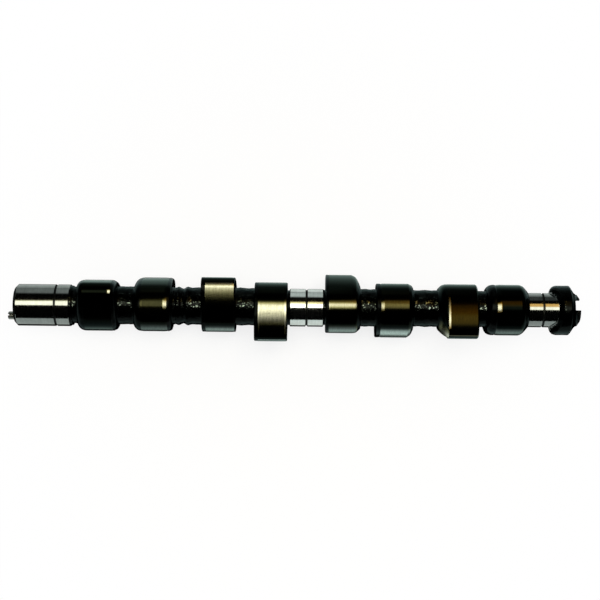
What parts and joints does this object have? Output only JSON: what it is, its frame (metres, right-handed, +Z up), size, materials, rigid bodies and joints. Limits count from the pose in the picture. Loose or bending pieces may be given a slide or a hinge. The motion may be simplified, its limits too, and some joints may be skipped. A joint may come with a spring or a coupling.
{
  "type": "camshaft",
  "caption": "Cast overhead camshaft with ground lobes in opposed pairs, three bearing journals, a locating pin in its front face and a slotted tail for a pump drive.",
  "frame": {"origin": "on the flat surface that the shaft lies on, below the middle of its bounding box", "axes": "+X along the shaft from its sprocket end to its slotted tail, rising 1.46 degrees as it lies on two of its lobes; +Z up; -Y towards the picture's lower edge"},
  "size_m": [0.4326, 0.054, 0.0472],
  "materials": {
    "blackened_iron": "black phosphated casting, with bright ground journals and dark polished cam tracks",
    "spring_steel": "dark oiled spring steel"
  },
  "bodies": {
    "root": {"camshaft": "blackened_iron", "locating_pin": "spring_steel"}
  },
  "joints": []
}
